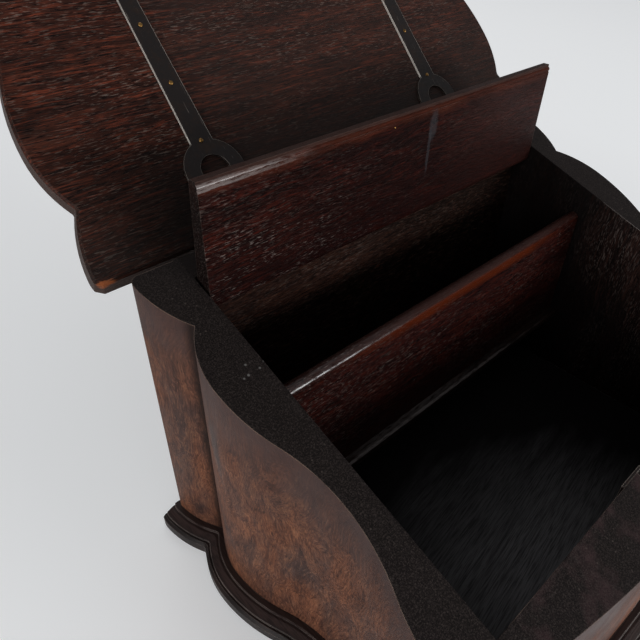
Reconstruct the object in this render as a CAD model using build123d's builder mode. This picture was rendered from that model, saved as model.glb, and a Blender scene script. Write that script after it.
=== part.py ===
from build123d import *
from math import cos, radians, sin, tan
import os

# Slant-lid sewing box with lobed sides, a lidded till along its back and an iron-strapped lid.
# The origin is the middle of the footprint, on the table. X is the width, +Y the back, +Z up.
# The lid stands open and the till lid stands up, as the box is looked into.

# Size of the room inside and of the rim
inner_width = 250.0
inner_depth = 168.5
back_height = 167.0
rim_slope = 18.5

# Boards of the carcass: the side boards swell and narrow along their length
back_board = 12.0
lobe_thickness = 24.4
notch_thickness = 14.0
waist_thickness = 12.2
front_swell_thickness = 26.0
corner_lobe_length = 32.5
notch_to_peak = 27.5
front_peak_setback = 23.0
lobe_bulge = 2.6
lobe_middle = 17.2
back_corner_radius = 4.0
front_corner_radius = 6.0
bottom_board_thickness = 8.0

# Base moulding: a foot with an eased nose, a swelling member above it and a fillet against the
# wall. How far each stands out, the level of its top and how its arris falls
foot_out = 11.0
foot_level = 7.0
foot_bevel = 1.4
swell_out = 8.3
swell_level = 9.4
swell_fall = 1.7
swell_run = 3.6
fillet_out = 3.2
fillet_level = 10.9
glue_line = 0.1
moulding_notch_round = 2.5

# Till: a box within the box along the back, closed by its own lid
till_depth = 46.0
till_front_thickness = 7.2
till_front_top = 128.0
till_floor_level = 53.4
till_floor_thickness = 6.0
till_floor_nosing = 5.0
nosing_round = 1.5
housing_depth = 4.0
housing_play = 0.15

# Till lid, pivoted on pins of its own wood
till_lid_thickness = 9.4
till_lid_tip = 5.6
till_lid_reach = 56.8
till_pivot_below_rim = 7.8
till_lid_end_gap = 1.0
till_lid_back_gap = 0.4
pintle_radius = 2.6
pintle_length = 5.0
pintle_play = 0.08
pintle_end_play = 0.6
quirk_depth = 0.9
quirk_height = 1.4
bead_height = 2.8
bead_groove = 0.5
bead_fullness = 0.2
tip_bevel = 1.0

# Brass pin in the till lid, the last of its pull
pull_pin_left = 12.8
pull_pin_below_bead = 1.4
pull_pin_head_radius = 0.9
pull_pin_head_height = 0.4
pull_pin_shank = 0.8
pull_pin_length = 4.0

# Main lid
lid_thickness = 8.6
lid_overhang = 11.4
lid_lean = 45.0
lid_rim_gap = 0.2
lid_edge_bevel = 1.1
lid_corner_bevel = 2.5
lid_notch_round = 2.0

# Strap hinges of the lid
iron_thickness = 1.3
knuckle_radius = 2.4
knuckle_standoff = 0.35
hinge_pin_radius = 1.2
hinge_running_gap = 0.05
hinge_driven_gap = 0.02
hinge_offset = 84.0
strap_width = 12.6
strap_length = 150.0
ring_radius = 16.0
ring_hole_radius = 7.8
ring_centre = 33.0
strap_knuckle_width = 5.0
knuckle_gap = 0.2
knuckle_slot_play = 0.65
pin_overhang = 0.5
leaf_drop = 38.0
leaf_foot_share = 0.3
strap_notch_play = 0.4
strap_side_play = 0.5
strap_tail_angle = 89.0
strap_end_radius = 8.5

# Nails, and where they stand
nail_head_radius = 1.8
nail_head_height = 0.9
nail_head_taper = 42.0
nail_shank = 1.1
nail_length = 5.5
nail_point = 1.4
nail_point_bevel = 0.4
nail_play = 0.05
bottom_nail_shank = 2.0
bottom_nail_length = 24.0
bottom_nail_sink = 0.4
bottom_nail_half_span = 80.0
bottom_nail_from_back = 20.0
bottom_nail_from_front = 12.0
leaf_nail_offset = 3.2
leaf_nail_below_axis = 13.0
leaf_nail_above_foot = 9.0
strap_neck_nail = 15.6
strap_nails_in_line = 3
strap_end_nail_offset = 4.2
strap_end_nail_setback = 9.0

# Lock in the front board, its bolt and the staple under the lid
lock_half_width = 24.1
lock_depth = 13.5
lock_height = 36.0
lock_top_drop = 5.0
lock_recess_play = 0.3
lock_sheet = 1.2
lock_plate_half_width = 34.8
lock_plate_skirt = 7.0
lock_plate_below_rim = 0.3
lock_corner_radius = 1.5
lock_hollow_half_width = 20.0
lock_hollow_depth = 1.5
lock_nail_inset = 4.6
bolt_thickness = 3.0
bolt_height = 3.6
bolt_setback = 6.6
bolt_guide_gap = 0.1
bolt_tail_width = 3.4
bolt_tail_drop = 12.0
bolt_tail_gap = 1.0
bolt_roof = 0.6
guide_width = 4.4
guide_setback = 0.4
guide_plate_gap = 0.1
staple_thickness = 2.4
staple_wall = 1.2
staple_hole_play = 0.4
staple_slot_play = 1.0
staple_slot_margin = 0.5
staple_plate_half_width = 15.0
staple_plate_depth = 12.0
staple_nail_inset = 4.5

# Keyhole in the front
keyhole_radius = 2.2
keyhole_slot_width = 2.0
keyhole_slot_drop = 6.5
keyhole_below_bolt = 13.0
keyhole_case_play = 0.2

os.makedirs("parts", exist_ok=True)


def finish(piece, name):
    """Label a finished piece and write it to its own file."""
    piece.part.label = name
    export_step(piece.part, f"parts/{name}.step")


# Places worked out from the sizes above
slope = radians(rim_slope)
half_inside = inner_width / 2
body_depth = back_board + inner_depth + lobe_thickness
back_y = body_depth / 2
back_inner_y = back_y - back_board
front_inner_y = back_inner_y - inner_depth
wall_foot = bottom_board_thickness
mitre_reach = 3 * lobe_thickness
rim_plane = Plane(
    origin=(0, back_y, back_height), x_dir=(1, 0, 0), z_dir=(0, -sin(slope), cos(slope)))


def rim_height(y):
    """Height of the sloping rim at a place from front to back."""
    return back_height + (y - back_y) * tan(slope)


# Hinge line of the lid, behind the back board and below the rim
axis_to_lid = knuckle_radius + knuckle_standoff
hinge_y = back_y + axis_to_lid
hinge_z = back_height + (lid_rim_gap - axis_to_lid + axis_to_lid * sin(slope)) / cos(slope)

# The open lid: its inner face seen flat, and the same place seen from the side.
# On the first, x runs along the hinge and y up the lid; on the second, x runs up the lid and
# y out from its inner face.
lean = radians(lid_lean)
lid_origin = (0, hinge_y + axis_to_lid * cos(lean), hinge_z - axis_to_lid * sin(lean))
lid_inside = Plane(origin=lid_origin, x_dir=(1, 0, 0), z_dir=(0, -cos(lean), sin(lean)))
lid_side = Plane(origin=lid_origin, x_dir=(0, sin(lean), cos(lean)), z_dir=(1, 0, 0))
lid_back_edge = axis_to_lid * (1 - sin(slope)) / cos(slope)


def up_closed_lid(y, z):
    """Where a place in the closed box lies on the lid: up it from the hinge, and out from it."""
    forward = (hinge_y - y) * cos(slope) + (hinge_z - z) * sin(slope)
    above = (y - hinge_y) * -sin(slope) + (z - hinge_z) * cos(slope)
    return forward, axis_to_lid - above


# Plan outline of the body, drawn from the middle of the back round to the middle of the front.
# stretch lengthens it along the depth, as the slope does for the lid.
def body_outline(stretch=1.0):
    """Closed plan of the body with its lobes and notches."""
    def place(thickness, from_back):
        return (-(half_inside + thickness), back_y - from_back * stretch)

    peak = corner_lobe_length + notch_to_peak
    front_peak = body_depth - front_peak_setback
    waist = (peak + front_peak) / 2
    mean_thickness = (lobe_thickness + waist_thickness) / 2
    front_corner = place(lobe_thickness, body_depth)
    front_notch = place(
        lobe_thickness - corner_lobe_length, body_depth - lobe_thickness + notch_thickness)
    front_middle = place(-half_inside, body_depth - lobe_thickness + front_swell_thickness)
    with BuildSketch() as outline:
        with BuildLine():
            Line((0, back_y), place(lobe_thickness, 0))
            ThreePointArc(
                place(lobe_thickness, 0), place(lobe_thickness - lobe_bulge, lobe_middle),
                place(notch_thickness, corner_lobe_length))
            TangentArc(
                place(lobe_thickness, peak), place(notch_thickness, corner_lobe_length),
                tangent=(0, 1))
            fall = TangentArc(
                place(lobe_thickness, peak), place(mean_thickness, (peak + waist) / 2),
                tangent=(0, -1))
            TangentArc(fall @ 1, place(waist_thickness, waist), tangent=fall % 1)
            rise = TangentArc(
                place(waist_thickness, waist), place(mean_thickness, (waist + front_peak) / 2),
                tangent=(0, -1))
            TangentArc(rise @ 1, place(lobe_thickness, front_peak), tangent=rise % 1)
            Line(place(lobe_thickness, front_peak), front_corner)
            ThreePointArc(
                front_corner, place(lobe_thickness - lobe_middle, body_depth - lobe_bulge),
                front_notch)
            TangentArc(front_middle, front_notch, tangent=(-1, 0))
            mirror(about=Plane.YZ)
        make_face()
        ends = [v for v in outline.vertices() if abs(abs(v.X) - half_inside - lobe_thickness) < 0.01]
        fillet([v for v in ends if v.Y > back_y - 0.01], radius=back_corner_radius)
        front_line = back_y - body_depth * stretch
        fillet([v for v in ends if v.Y < front_line + 0.01], radius=front_corner_radius)
    return outline.sketch


def sharp_points(outline):
    """The points of an outline where its direction breaks."""
    found = []
    for vertex in outline.vertices():
        point = Vector(vertex.X, vertex.Y, vertex.Z)
        leaving = [e % 0 for e in outline.edges() if (e @ 0 - point).length < 0.001]
        arriving = [e % 1 for e in outline.edges() if (e @ 1 - point).length < 0.001]
        directions = leaving + arriving
        if abs(directions[0].dot(directions[1])) < 0.97:
            found.append(vertex)
    return found


def grown_outline(amount, notch_round, stretch=1.0):
    """The plan outline grown outward: its front corners stay parallel, its notches are eased."""
    wider = offset(body_outline(stretch), amount=amount, kind=Kind.INTERSECTION)
    outermost = half_inside + lobe_thickness + amount - 0.01
    with BuildSketch() as grown:
        add(wider)
        fillet([v for v in sharp_points(grown) if abs(v.X) < outermost], radius=notch_round)
        front_corners = [v for v in sharp_points(grown) if abs(v.X) > outermost and v.Y < 0]
        fillet(front_corners, radius=front_corner_radius + amount)
    return grown.sketch


def board_sector(*corners):
    """Flat region that picks one board out of the whole plan."""
    with BuildSketch() as sector:
        with BuildLine():
            Polyline(*corners, close=True)
        make_face()
    return sector.sketch


plan = body_outline()
mitre_x = half_inside + mitre_reach
mitre_y = front_inner_y - mitre_reach
side_sector = board_sector(
    (-half_inside, back_y), (-half_inside, front_inner_y), (-mitre_x, mitre_y), (-mitre_x, back_y))
front_sector = board_sector(
    (-half_inside, front_inner_y), (half_inside, front_inner_y), (mitre_x, mitre_y),
    (-mitre_x, mitre_y))

# Till pieces in profile, looking along the box: x is front to back here, y is height.
# With play they make the housings that take them.
till_front_y = back_inner_y - till_depth - till_front_thickness / 2
till_floor_front = back_inner_y - till_depth - till_front_thickness - till_floor_nosing


def till_front_profile(play=0.0):
    """Upright board with a full round along its top."""
    half = till_front_thickness / 2
    height = till_front_top - half - till_floor_level
    with BuildSketch() as profile:
        with Locations((till_front_y, till_floor_level + height / 2)):
            Rectangle(2 * (half + play), height)
        with Locations((till_front_y, till_floor_level + height)):
            Circle(half + play)
    return profile.sketch


def till_floor_profile(play=0.0):
    """Level board whose front edge stands out as a rounded nosing."""
    length = back_inner_y - till_floor_front
    with BuildSketch() as profile:
        with Locations((till_floor_front - play, till_floor_level - till_floor_thickness)):
            Rectangle(length + play, till_floor_thickness, align=(Align.MIN, Align.MIN))
        nose = [v for v in profile.vertices() if v.X < till_floor_front + 0.01]
        fillet(nose, radius=nosing_round)
    return profile.sketch


# Pivot of the till lid, in the side boards just in front of the back board
pivot_radius = till_lid_thickness / 2
pivot_y = back_inner_y - till_lid_back_gap - pivot_radius
pivot_z = rim_height(pivot_y) - till_pivot_below_rim
pintle_hole = pintle_length + pintle_end_play - till_lid_end_gap

nail_hole = nail_shank + 2 * nail_play
bottom_nail_hole = bottom_nail_shank + 2 * nail_play

# Places of the bottom nails: from left to right, from front to back, through the bottom board
nail_line_x = half_inside + waist_thickness / 2
nail_line_front = front_inner_y - notch_thickness / 2
nail_line_back = back_y - back_board / 2
side_nails = [(-nail_line_x, y) for y in (
    back_inner_y - bottom_nail_from_back, 0, front_inner_y + bottom_nail_from_front)]
front_nails = [(-bottom_nail_half_span, nail_line_front), (bottom_nail_half_span, nail_line_front)]
back_nails = [(-bottom_nail_half_span, nail_line_back), (bottom_nail_half_span, nail_line_back)]

# Left board: swelling outer face, sloping rim, stopped housings for the till and a pivot hole
with BuildPart() as left_wall:
    with BuildSketch(Plane.XY.offset(wall_foot)):
        add(plan)
        add(side_sector, mode=Mode.INTERSECT)
    extrude(amount=back_height)
    split(bisect_by=rim_plane, keep=Keep.BOTTOM)
    with BuildSketch(Plane.YZ.offset(-half_inside)):
        add(till_front_profile(housing_play))
        add(till_floor_profile(housing_play))
    extrude(amount=-housing_depth, mode=Mode.SUBTRACT)
    with BuildSketch(Plane.YZ.offset(-half_inside)):
        with Locations((pivot_y, pivot_z)):
            Circle(pintle_radius + pintle_play)
    extrude(amount=-pintle_hole, mode=Mode.SUBTRACT)
    with BuildSketch(Plane.XY.offset(wall_foot)):
        with Locations(*side_nails):
            Rectangle(bottom_nail_hole, bottom_nail_hole)
    extrude(amount=bottom_nail_length, mode=Mode.SUBTRACT)
finish(left_wall, "left_wall")

# Right board: the left one mirrored
with BuildPart() as right_wall:
    add(mirror(left_wall.part, about=Plane.YZ))
finish(right_wall, "right_wall")

# Back board between the side boards, notched on top for the two straps
leaf_nail_levels = (-leaf_nail_below_axis, leaf_nail_above_foot - leaf_drop)
back_leaf_nails = [(x, z) for x in (-leaf_nail_offset, leaf_nail_offset) for z in leaf_nail_levels]
strap_notch = iron_thickness - lid_rim_gap + strap_notch_play
with BuildPart() as back_wall:
    with BuildSketch(Plane.XY.offset(wall_foot)):
        with Locations((0, back_y)):
            Rectangle(inner_width, back_board, align=(Align.CENTER, Align.MAX))
    extrude(amount=back_height)
    split(bisect_by=rim_plane, keep=Keep.BOTTOM)
    with BuildSketch(rim_plane):
        with Locations((-hinge_offset, 0), (hinge_offset, 0)):
            Rectangle(strap_width + 2 * strap_side_play, 3 * back_board)
    extrude(amount=-strap_notch, mode=Mode.SUBTRACT)
    with BuildSketch(Plane.XZ.offset(-back_y)):
        with Locations((-hinge_offset, hinge_z), (hinge_offset, hinge_z)):
            with Locations(*back_leaf_nails):
                Rectangle(nail_hole, nail_hole)
    extrude(amount=nail_length, mode=Mode.SUBTRACT)
    with BuildSketch(Plane.XY.offset(wall_foot)):
        with Locations(*back_nails):
            Rectangle(bottom_nail_hole, bottom_nail_hole)
    extrude(amount=bottom_nail_length, mode=Mode.SUBTRACT)
finish(back_wall, "back_wall")

# Lock and keyhole places on the front board
case_top = rim_height(front_inner_y) - lock_top_drop
case_bottom = case_top - lock_height
case_back_y = front_inner_y - lock_depth
bolt_y = front_inner_y - bolt_setback
bolt_z = case_top - lock_sheet - bolt_roof - bolt_height / 2
keyhole_z = bolt_z - keyhole_below_bolt
plate_top = rim_height(front_inner_y) - lock_plate_below_rim
plate_bottom = case_bottom - lock_plate_skirt
plate_nail_x = lock_plate_half_width - lock_nail_inset
plate_nail_levels = (plate_bottom + lock_nail_inset, plate_top - lock_nail_inset)
plate_nails = [(x, z) for x in (-plate_nail_x, plate_nail_x) for z in plate_nail_levels]


def keyhole(play=0.0):
    """Round head with a slot below it, seen from the front."""
    with BuildSketch() as hole:
        with Locations((0, keyhole_z)):
            Circle(keyhole_radius + play)
            Rectangle(keyhole_slot_width + 2 * play, keyhole_slot_drop + play,
                      align=(Align.CENTER, Align.MAX))
    return hole.sketch


# Front board, swelling outward, with the lock's mortise open at the rim and a bare keyhole
with BuildPart() as front_wall:
    with BuildSketch(Plane.XY.offset(wall_foot)):
        add(plan)
        add(front_sector, mode=Mode.INTERSECT)
    extrude(amount=back_height)
    split(bisect_by=rim_plane, keep=Keep.BOTTOM)
    with BuildSketch(Plane.XZ.offset(-front_inner_y)):
        with Locations((0, case_bottom - lock_recess_play)):
            Rectangle(2 * (lock_half_width + lock_recess_play), back_height,
                      align=(Align.CENTER, Align.MIN))
    extrude(amount=lock_depth + lock_recess_play, mode=Mode.SUBTRACT)
    with BuildSketch(Plane.XZ.offset(-front_inner_y)):
        add(keyhole())
    extrude(amount=2 * lobe_thickness, mode=Mode.SUBTRACT)
    with BuildSketch(Plane.XZ.offset(-front_inner_y)):
        with Locations(*plate_nails):
            Rectangle(nail_hole, nail_hole)
    extrude(amount=nail_length, mode=Mode.SUBTRACT)
    with BuildSketch(Plane.XY.offset(wall_foot)):
        with Locations(*front_nails):
            Rectangle(bottom_nail_hole, bottom_nail_hole)
    extrude(amount=bottom_nail_length, mode=Mode.SUBTRACT)
finish(front_wall, "front_wall")

# Bottom board under all four walls, with clearance holes for its nails
mirrored_side_nails = [(-x, y) for x, y in side_nails]
all_bottom_nails = side_nails + mirrored_side_nails + front_nails + back_nails
with BuildPart() as bottom_board:
    with BuildSketch():
        add(plan)
        with Locations(*all_bottom_nails):
            Rectangle(bottom_nail_hole, bottom_nail_hole, mode=Mode.SUBTRACT)
    extrude(amount=bottom_board_thickness)
finish(bottom_board, "bottom_board")

# Nails that hold the bottom board, driven flush from beneath
with BuildPart() as bottom_nails:
    with BuildSketch(Plane.XY.offset(bottom_nail_sink)):
        with Locations(*all_bottom_nails):
            Rectangle(bottom_nail_shank, bottom_nail_shank)
    extrude(amount=bottom_nail_length)
finish(bottom_nails, "bottom_nails")

# Base moulding as one ring, then mitred into its three lengths
with BuildPart() as moulding_ring:
    with BuildSketch():
        add(grown_outline(foot_out, moulding_notch_round))
    extrude(amount=foot_level)
    chamfer(moulding_ring.edges().group_by(Axis.Z)[-1], length=foot_bevel)
    with BuildSketch(Plane.XY.offset(foot_level)):
        add(grown_outline(swell_out, moulding_notch_round))
    extrude(amount=swell_level - foot_level)
    swell_top = moulding_ring.faces().sort_by(Axis.Z)[-1]
    chamfer(swell_top.edges(), length=swell_run, length2=swell_fall, reference=swell_top)
    with BuildSketch(Plane.XY.offset(swell_level)):
        add(grown_outline(fillet_out, moulding_notch_round))
    extrude(amount=fillet_level - swell_level)
    with BuildSketch():
        add(offset(plan, amount=glue_line, kind=Kind.INTERSECTION, mode=Mode.PRIVATE))
    extrude(amount=fillet_level, mode=Mode.SUBTRACT)
    split(bisect_by=Plane.XZ.offset(-back_y), keep=Keep.TOP)

# The left and right lengths of the moulding meet the front one on the corner mitres
with BuildPart() as moulding_left:
    add(moulding_ring.part)
    extrude(side_sector, amount=fillet_level + 1, mode=Mode.INTERSECT)
finish(moulding_left, "moulding_left")

with BuildPart() as moulding_right:
    add(mirror(moulding_left.part, about=Plane.YZ))
finish(moulding_right, "moulding_right")

with BuildPart() as moulding_front:
    add(moulding_ring.part)
    extrude(front_sector, amount=fillet_level + 1, mode=Mode.INTERSECT)
finish(moulding_front, "moulding_front")

# Till floor, housed in the side boards and butted against the back board
till_board_half = half_inside + housing_depth - housing_play
with BuildPart() as till_floor:
    with BuildSketch(Plane.YZ.offset(-till_board_half)):
        add(till_floor_profile())
    extrude(amount=2 * till_board_half)
finish(till_floor, "till_floor")

# Till front, standing on the till floor in its own housings
with BuildPart() as till_front:
    with BuildSketch(Plane.YZ.offset(-till_board_half)):
        add(till_front_profile())
    extrude(amount=2 * till_board_half)
finish(till_front, "till_front")

# Till lid, standing up: rounded round its pivot, thinned behind towards its beaded edge
lid_front_y = pivot_y - pivot_radius
tip_z = pivot_z + till_lid_reach
tip_back_y = lid_front_y + till_lid_tip
pull_pin_z = tip_z - quirk_height - bead_height - pull_pin_below_bead
pull_pin_seat = Plane(
    origin=(-pull_pin_left, lid_front_y, pull_pin_z), x_dir=(1, 0, 0), z_dir=(0, -1, 0))
with BuildPart() as till_lid:
    with BuildSketch(Plane.YZ.offset(-half_inside + till_lid_end_gap)):
        with BuildLine():
            bead_z = tip_z - quirk_height - bead_height
            below_bead = (lid_front_y, bead_z)
            bead_foot = (lid_front_y + bead_groove, bead_z + bead_groove)
            bead_top = (lid_front_y + quirk_depth, tip_z - quirk_height)
            bead_middle = (lid_front_y, bead_z + bead_height / 2 + bead_fullness)
            Line((lid_front_y, pivot_z), below_bead)
            Line(below_bead, bead_foot)
            ThreePointArc(bead_foot, bead_middle, bead_top)
            Line(bead_top, (lid_front_y + quirk_depth, tip_z))
            Line((lid_front_y + quirk_depth, tip_z), (tip_back_y - tip_bevel, tip_z))
            Line((tip_back_y - tip_bevel, tip_z), (tip_back_y, tip_z - tip_bevel))
            Line((tip_back_y, tip_z - tip_bevel), (pivot_y + pivot_radius, pivot_z))
            ThreePointArc(
                (pivot_y + pivot_radius, pivot_z), (pivot_y, pivot_z - pivot_radius),
                (lid_front_y, pivot_z))
        make_face()
    extrude(amount=inner_width - 2 * till_lid_end_gap)
    with BuildSketch(Plane.YZ.offset(-half_inside + till_lid_end_gap - pintle_length)):
        with Locations((pivot_y, pivot_z)):
            Circle(pintle_radius)
    extrude(amount=inner_width - 2 * till_lid_end_gap + 2 * pintle_length)
    with BuildSketch(pull_pin_seat):
        Rectangle(pull_pin_shank + 2 * nail_play, pull_pin_shank + 2 * nail_play)
    extrude(amount=-pull_pin_length, mode=Mode.SUBTRACT)
finish(till_lid, "till_lid")

# Small brass pin near the middle of the till lid's free edge
with BuildPart() as till_lid_pin:
    with BuildSketch(pull_pin_seat):
        RegularPolygon(pull_pin_head_radius, 8)
    extrude(amount=pull_pin_head_height)
    with BuildSketch(pull_pin_seat):
        Rectangle(pull_pin_shank, pull_pin_shank)
    extrude(amount=-pull_pin_length)
finish(till_lid_pin, "till_lid_pin")

# One forged nail, pointing down with the underside of its head at the origin: an eight-sided
# crown and a square shank drawn to a point
with BuildPart() as nail:
    with BuildSketch():
        RegularPolygon(nail_head_radius, 8)
    extrude(amount=nail_head_height, taper=nail_head_taper)
    with BuildSketch():
        Rectangle(nail_shank, nail_shank)
    extrude(amount=-nail_length)
    shank_end = nail.faces().sort_by(Axis.Z)[0]
    chamfer(shank_end.edges(), length=nail_point_bevel, length2=nail_point, reference=shank_end)


def drive_nails(face, places):
    """Nails standing head out on a face of the box."""
    for x, y in places:
        add(nail.part.moved(face.location * Location((x, y, 0))))


# Hinge leaf on the back: a plate with two knuckles and a clipped foot, nailed four times
leaf_face = Plane(origin=(0, back_y, hinge_z), x_dir=(-1, 0, 0), z_dir=(0, 1, 0))
with BuildPart() as hinge_leaf_left:
    with BuildSketch(leaf_face):
        with Locations((hinge_offset, -leaf_drop / 2)):
            Rectangle(strap_width, leaf_drop)
    extrude(amount=iron_thickness)
    foot_corners = hinge_leaf_left.edges().filter_by(Axis.Y).group_by(Axis.Z)[0]
    chamfer(foot_corners, length=leaf_foot_share * strap_width)
    with BuildSketch(Plane.YZ.offset(-hinge_offset - strap_width / 2)):
        with Locations((hinge_y, hinge_z)):
            Circle(knuckle_radius)
        with Locations((back_y, hinge_z)):
            Rectangle(axis_to_lid, knuckle_radius, align=(Align.MIN, Align.MAX))
    extrude(amount=strap_width)
    with BuildSketch(leaf_face):
        with Locations((hinge_offset, 0)):
            Rectangle(
                strap_knuckle_width + 2 * knuckle_gap, 2 * (knuckle_radius + knuckle_slot_play))
    extrude(amount=3 * axis_to_lid, mode=Mode.SUBTRACT)
    with BuildSketch(Plane.YZ.offset(-hinge_offset - strap_width)):
        with Locations((hinge_y, hinge_z)):
            Circle(hinge_pin_radius + hinge_driven_gap)
    extrude(amount=2 * strap_width, mode=Mode.SUBTRACT)
    with BuildSketch(leaf_face):
        with Locations((hinge_offset, 0)):
            with Locations(*back_leaf_nails):
                Rectangle(nail_hole, nail_hole)
    extrude(amount=iron_thickness, mode=Mode.SUBTRACT)
finish(hinge_leaf_left, "hinge_leaf_left")

with BuildPart() as hinge_leaf_right:
    add(mirror(hinge_leaf_left.part, about=Plane.YZ))
finish(hinge_leaf_right, "hinge_leaf_right")

# Nails of both leaves, through the iron into the back board
leaf_outer = leaf_face.offset(iron_thickness)
with BuildPart() as leaf_nails:
    drive_nails(leaf_outer, [(hinge_offset + x, z) for x, z in back_leaf_nails])
    drive_nails(leaf_outer, [(-hinge_offset + x, z) for x, z in back_leaf_nails])
finish(leaf_nails, "leaf_nails")

# Hinge pins
with BuildPart() as hinge_pin_left:
    with BuildSketch(Plane.YZ.offset(-hinge_offset - strap_width / 2 - pin_overhang)):
        with Locations((hinge_y, hinge_z)):
            Circle(hinge_pin_radius)
    extrude(amount=strap_width + 2 * pin_overhang)
finish(hinge_pin_left, "hinge_pin_left")

with BuildPart() as hinge_pin_right:
    add(mirror(hinge_pin_left.part, about=Plane.YZ))
finish(hinge_pin_right, "hinge_pin_right")

# Lock plate on the inner face of the front board, hollowed along its top where the staple passes
plate_face = Plane(origin=(0, front_inner_y, 0), x_dir=(-1, 0, 0), z_dir=(0, 1, 0))
with BuildPart() as lock_plate:
    with BuildSketch(plate_face):
        with Locations((0, (plate_top + plate_bottom) / 2)):
            RectangleRounded(
                2 * lock_plate_half_width, plate_top - plate_bottom, radius=lock_corner_radius)
        with Locations((0, plate_top)):
            SlotOverall(
                2 * lock_hollow_half_width, 2 * lock_hollow_depth, mode=Mode.SUBTRACT)
        with Locations(*plate_nails):
            Rectangle(nail_hole, nail_hole, mode=Mode.SUBTRACT)
    extrude(amount=lock_sheet)
finish(lock_plate, "lock_plate")

# Lock case behind the plate: a shallow box with a slot for the staple and guides for the bolt
staple_forward, staple_out = up_closed_lid(bolt_y, bolt_z)
staple_hole_half = (
    bolt_height * cos(slope) + bolt_thickness * sin(slope)) / 2 + staple_hole_play
staple_half_width = (
    bolt_thickness * cos(slope) + bolt_height * sin(slope)) / 2 + staple_hole_play + staple_wall
staple_tip = staple_out + staple_hole_half + staple_wall
slot_half_x = staple_thickness / 2 + staple_slot_play
bolt_end = -slot_half_x
bolt_start = -lock_half_width + lock_sheet + bolt_tail_gap
guide_x = slot_half_x + guide_setback + guide_width / 2
guide_front = front_inner_y - guide_plate_gap
guide_back = case_back_y + lock_sheet
slot_depth = lock_depth - lock_sheet - staple_slot_margin
with BuildPart() as lock_case:
    with BuildSketch(Plane.XZ.offset(-front_inner_y)):
        with Locations((0, case_bottom)):
            Rectangle(2 * lock_half_width, lock_height, align=(Align.CENTER, Align.MIN))
    extrude(amount=lock_depth)
    with BuildSketch(Plane.XZ.offset(-front_inner_y)):
        with Locations((0, case_bottom + lock_sheet)):
            Rectangle(
                2 * (lock_half_width - lock_sheet), lock_height - 2 * lock_sheet,
                align=(Align.CENTER, Align.MIN))
    extrude(amount=lock_depth - lock_sheet, mode=Mode.SUBTRACT)
    with BuildSketch(Plane.XZ.offset(-guide_front)):
        with Locations((-guide_x, bolt_z), (guide_x, bolt_z)):
            Rectangle(guide_width, bolt_height + 2 * bolt_roof)
    extrude(amount=guide_front - guide_back)
    with BuildSketch(Plane.YZ.offset(-lock_half_width + lock_sheet)):
        with Locations((bolt_y, bolt_z)):
            Rectangle(bolt_thickness + 2 * bolt_guide_gap, bolt_height + 2 * bolt_guide_gap)
    extrude(amount=2 * (lock_half_width - lock_sheet), mode=Mode.SUBTRACT)
    with BuildSketch(Plane.XY.offset(case_top - lock_sheet)):
        with Locations((0, guide_back)):
            Rectangle(2 * slot_half_x, slot_depth, align=(Align.CENTER, Align.MIN))
    extrude(amount=lock_sheet, mode=Mode.SUBTRACT)
    with BuildSketch(Plane.XZ.offset(-front_inner_y)):
        add(keyhole(keyhole_case_play))
    extrude(amount=lock_depth, mode=Mode.SUBTRACT)
finish(lock_case, "lock_case")

# Bolt, drawn back: an arm that passes through the staple and a tail that the key pushes
with BuildPart() as lock_bolt:
    with BuildSketch(Plane.XZ.offset(-bolt_y - bolt_thickness / 2)):
        with Locations((bolt_start, bolt_z)):
            Rectangle(bolt_end - bolt_start, bolt_height, align=(Align.MIN, Align.CENTER))
        with Locations((bolt_start, bolt_z)):
            Rectangle(bolt_tail_width, bolt_tail_drop, align=(Align.MIN, Align.MAX))
    extrude(amount=bolt_thickness)
finish(lock_bolt, "lock_bolt")

# Nails of the lock plate
with BuildPart() as lock_nails:
    drive_nails(plate_face.offset(lock_sheet), [(-x, z) for x, z in plate_nails])
finish(lock_nails, "lock_nails")

# Lid board, open: the plan of the body stretched along the slope and grown all round but at the
# back, where it is cut to stand plumb over the back board when it is shut
lid_plan = grown_outline(lid_overhang, lid_notch_round, stretch=1 / cos(slope))
lid_back_cut = Plane(
    origin=lid_inside.from_local_coords((0, lid_back_edge, 0)), x_dir=(1, 0, 0),
    z_dir=(0, sin(lean + slope), cos(lean + slope)))
neck_nail = ring_centre + strap_neck_nail
end_nails = strap_length - strap_end_nail_setback
nail_spacing = (end_nails - neck_nail) / strap_nails_in_line
strap_nail_places = [(0, neck_nail + row * nail_spacing) for row in range(strap_nails_in_line)]
strap_nail_places += [(-strap_end_nail_offset, end_nails), (strap_end_nail_offset, end_nails)]
strap_places = [(x + side * hinge_offset, y) for side in (-1, 1) for x, y in strap_nail_places]
staple_nail_x = staple_plate_half_width - staple_nail_inset
staple_nail_places = [(-staple_nail_x, staple_forward), (staple_nail_x, staple_forward)]
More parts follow.
